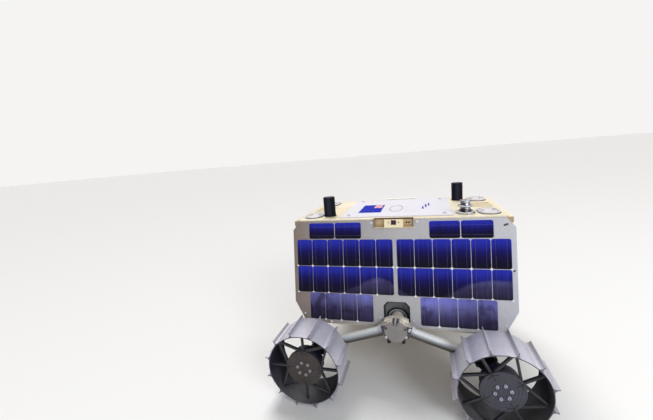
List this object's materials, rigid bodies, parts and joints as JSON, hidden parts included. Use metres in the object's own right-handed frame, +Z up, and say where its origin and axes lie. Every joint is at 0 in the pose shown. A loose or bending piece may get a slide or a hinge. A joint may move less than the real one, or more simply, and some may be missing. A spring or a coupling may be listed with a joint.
{
  "type": "planetary rover",
  "caption": "Small planetary rover: a boxy body with leaning solar side panels on two pivoting rockers with grouser wheels.",
  "frame": {"origin": "on the ground under the middle of the body, at the bottom centre of the bounding box", "axes": "+X the direction of travel, +Y across from the near side to the far side, +Z up"},
  "size_m": [0.593, 0.626, 0.458],
  "materials": {
    "panel_coat": "satin warm grey coating on the leaning side panels",
    "solar_cell": "deep blue glass-covered cells",
    "gold_finish": "pale gold conversion coat",
    "deck_gold": "cream gold conversion coat",
    "white_plate": "smooth white paint",
    "end_coat": "satin beige coating",
    "belly_coat": "satin tan coating",
    "pad_metal": "fine blasted",
    "black_coat": "matt black",
    "spool_metal": "turned",
    "camera_glass": "dark glass",
    "housing_dark": "dark grey moulding",
    "hub_metal": "machined and blasted",
    "cover_metal": "dull grey",
    "tube_metal": "clear anodised",
    "motor_black": "black anodised",
    "wheel_metal": "bare rolled sheet",
    "spoke_dark": "dark grey coat",
    "hub_dark": "brown-black coat",
    "box_grey": "plain"
  },
  "bodies": {
    "chassis": {"side_panel_near": "panel_coat", "side_panel_far": "panel_coat", "solar_cells_near": "solar_cell", "solar_cells_far": "solar_cell", "deck_frame": "gold_finish", "end_panel_front": "end_coat", "end_panel_rear": "end_coat", "belly_pan": "belly_coat", "avionics_box": "box_grey", "deck_cover": "deck_gold", "end_covers": "gold_finish", "payload_plate": "white_plate", "service_pads": "pad_metal", "stub_antennas": "black_coat", "deck_spool": "spool_metal", "camera_housings": "gold_finish", "camera_windows": "camera_glass", "pivot_housings": "housing_dark", "rocker_hub_near": "hub_metal", "hub_cover_near": "cover_metal", "leg_tube_front_near": "tube_metal", "wheel_motor_front_near": "motor_black", "leg_tube_rear_near": "tube_metal", "wheel_motor_rear_near": "motor_black", "rocker_hub_far": "hub_metal", "hub_cover_far": "cover_metal", "leg_tube_front_far": "tube_metal", "wheel_motor_front_far": "motor_black", "leg_tube_rear_far": "tube_metal", "wheel_motor_rear_far": "motor_black"},
    "wheel_front_near": {"wheel_rim_front_near": "wheel_metal", "wheel_spokes_front_near": "spoke_dark", "wheel_hub_front_near": "hub_dark"},
    "wheel_rear_near": {"wheel_rim_rear_near": "wheel_metal", "wheel_spokes_rear_near": "spoke_dark", "wheel_hub_rear_near": "hub_dark"},
    "wheel_front_far": {"wheel_rim_front_far": "wheel_metal", "wheel_spokes_front_far": "spoke_dark", "wheel_hub_front_far": "hub_dark"},
    "wheel_rear_far": {"wheel_rim_rear_far": "wheel_metal", "wheel_spokes_rear_far": "spoke_dark", "wheel_hub_rear_far": "hub_dark"}
  },
  "joints": [
    {"name": "wheel_front_near_spin", "type": "hinge", "parent": "chassis", "child": "wheel_front_near", "pos_m": [0.205, -0.27, 0.09154], "axis": [0, 1, 0], "continuous": true},
    {"name": "wheel_rear_near_spin", "type": "hinge", "parent": "chassis", "child": "wheel_rear_near", "pos_m": [-0.205, -0.27, 0.09154], "axis": [0, 1, 0], "continuous": true},
    {"name": "wheel_front_far_spin", "type": "hinge", "parent": "chassis", "child": "wheel_front_far", "pos_m": [0.205, 0.27, 0.09154], "axis": [0, 1, 0], "continuous": true},
    {"name": "wheel_rear_far_spin", "type": "hinge", "parent": "chassis", "child": "wheel_rear_far", "pos_m": [-0.205, 0.27, 0.09154], "axis": [0, 1, 0], "continuous": true}
  ]
}
